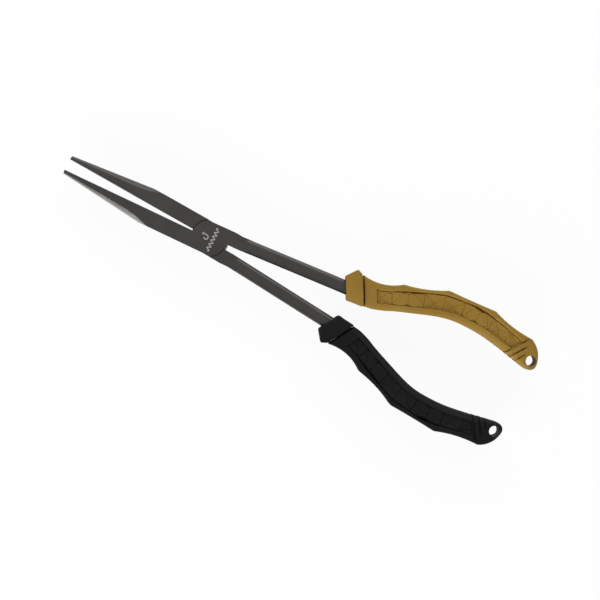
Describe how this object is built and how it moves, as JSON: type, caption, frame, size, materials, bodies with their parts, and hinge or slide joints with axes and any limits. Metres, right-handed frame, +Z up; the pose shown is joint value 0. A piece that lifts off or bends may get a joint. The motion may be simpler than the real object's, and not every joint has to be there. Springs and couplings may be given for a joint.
{
  "type": "long-reach fishing pliers",
  "caption": "Long-reach needle-nose fishing pliers with a lap joint, serrated jaws, moulded grips with finger guards and a lanyard hole in each heel.",
  "frame": {"origin": "centre of the bounding box in plan, on the plane that the lying tool rests on", "axes": "+X from the nose to the grips, +Y to the gold grip's side, +Z up out of the clean front face of the joint"},
  "size_m": [0.2779, 0.0734, 0.0175],
  "materials": {
    "jaw_steel": "dark satin, phosphated",
    "rivet_steel": "satin, ground flush",
    "core": "matte",
    "gold_sleeve": "satin, moulded",
    "gold_guard": "satin, moulded",
    "gold_inlay": "satin, moulded",
    "black_sleeve": "satin, moulded",
    "black_guard": "satin, moulded",
    "black_inlay": "satin, moulded"
  },
  "bodies": {
    "rear": {"rear_half": "jaw_steel", "black_grip_core": "core", "black_finger_guard": "black_guard", "black_grip_sleeve": "black_sleeve", "black_front_inlay": "black_inlay", "black_back_inlay": "black_inlay"},
    "front": {"front_half": "jaw_steel", "pivot_rivet": "rivet_steel", "gold_grip_core": "core", "gold_finger_guard": "gold_guard", "gold_grip_sleeve": "gold_sleeve", "gold_front_inlay": "gold_inlay", "gold_back_inlay": "gold_inlay"}
  },
  "joints": [
    {"name": "pivot", "type": "hinge", "parent": "rear", "child": "front", "pos_m": [-0.05175, 0, 0.00875], "axis": [0, 0, 1], "range_deg": [-4, 54]}
  ]
}
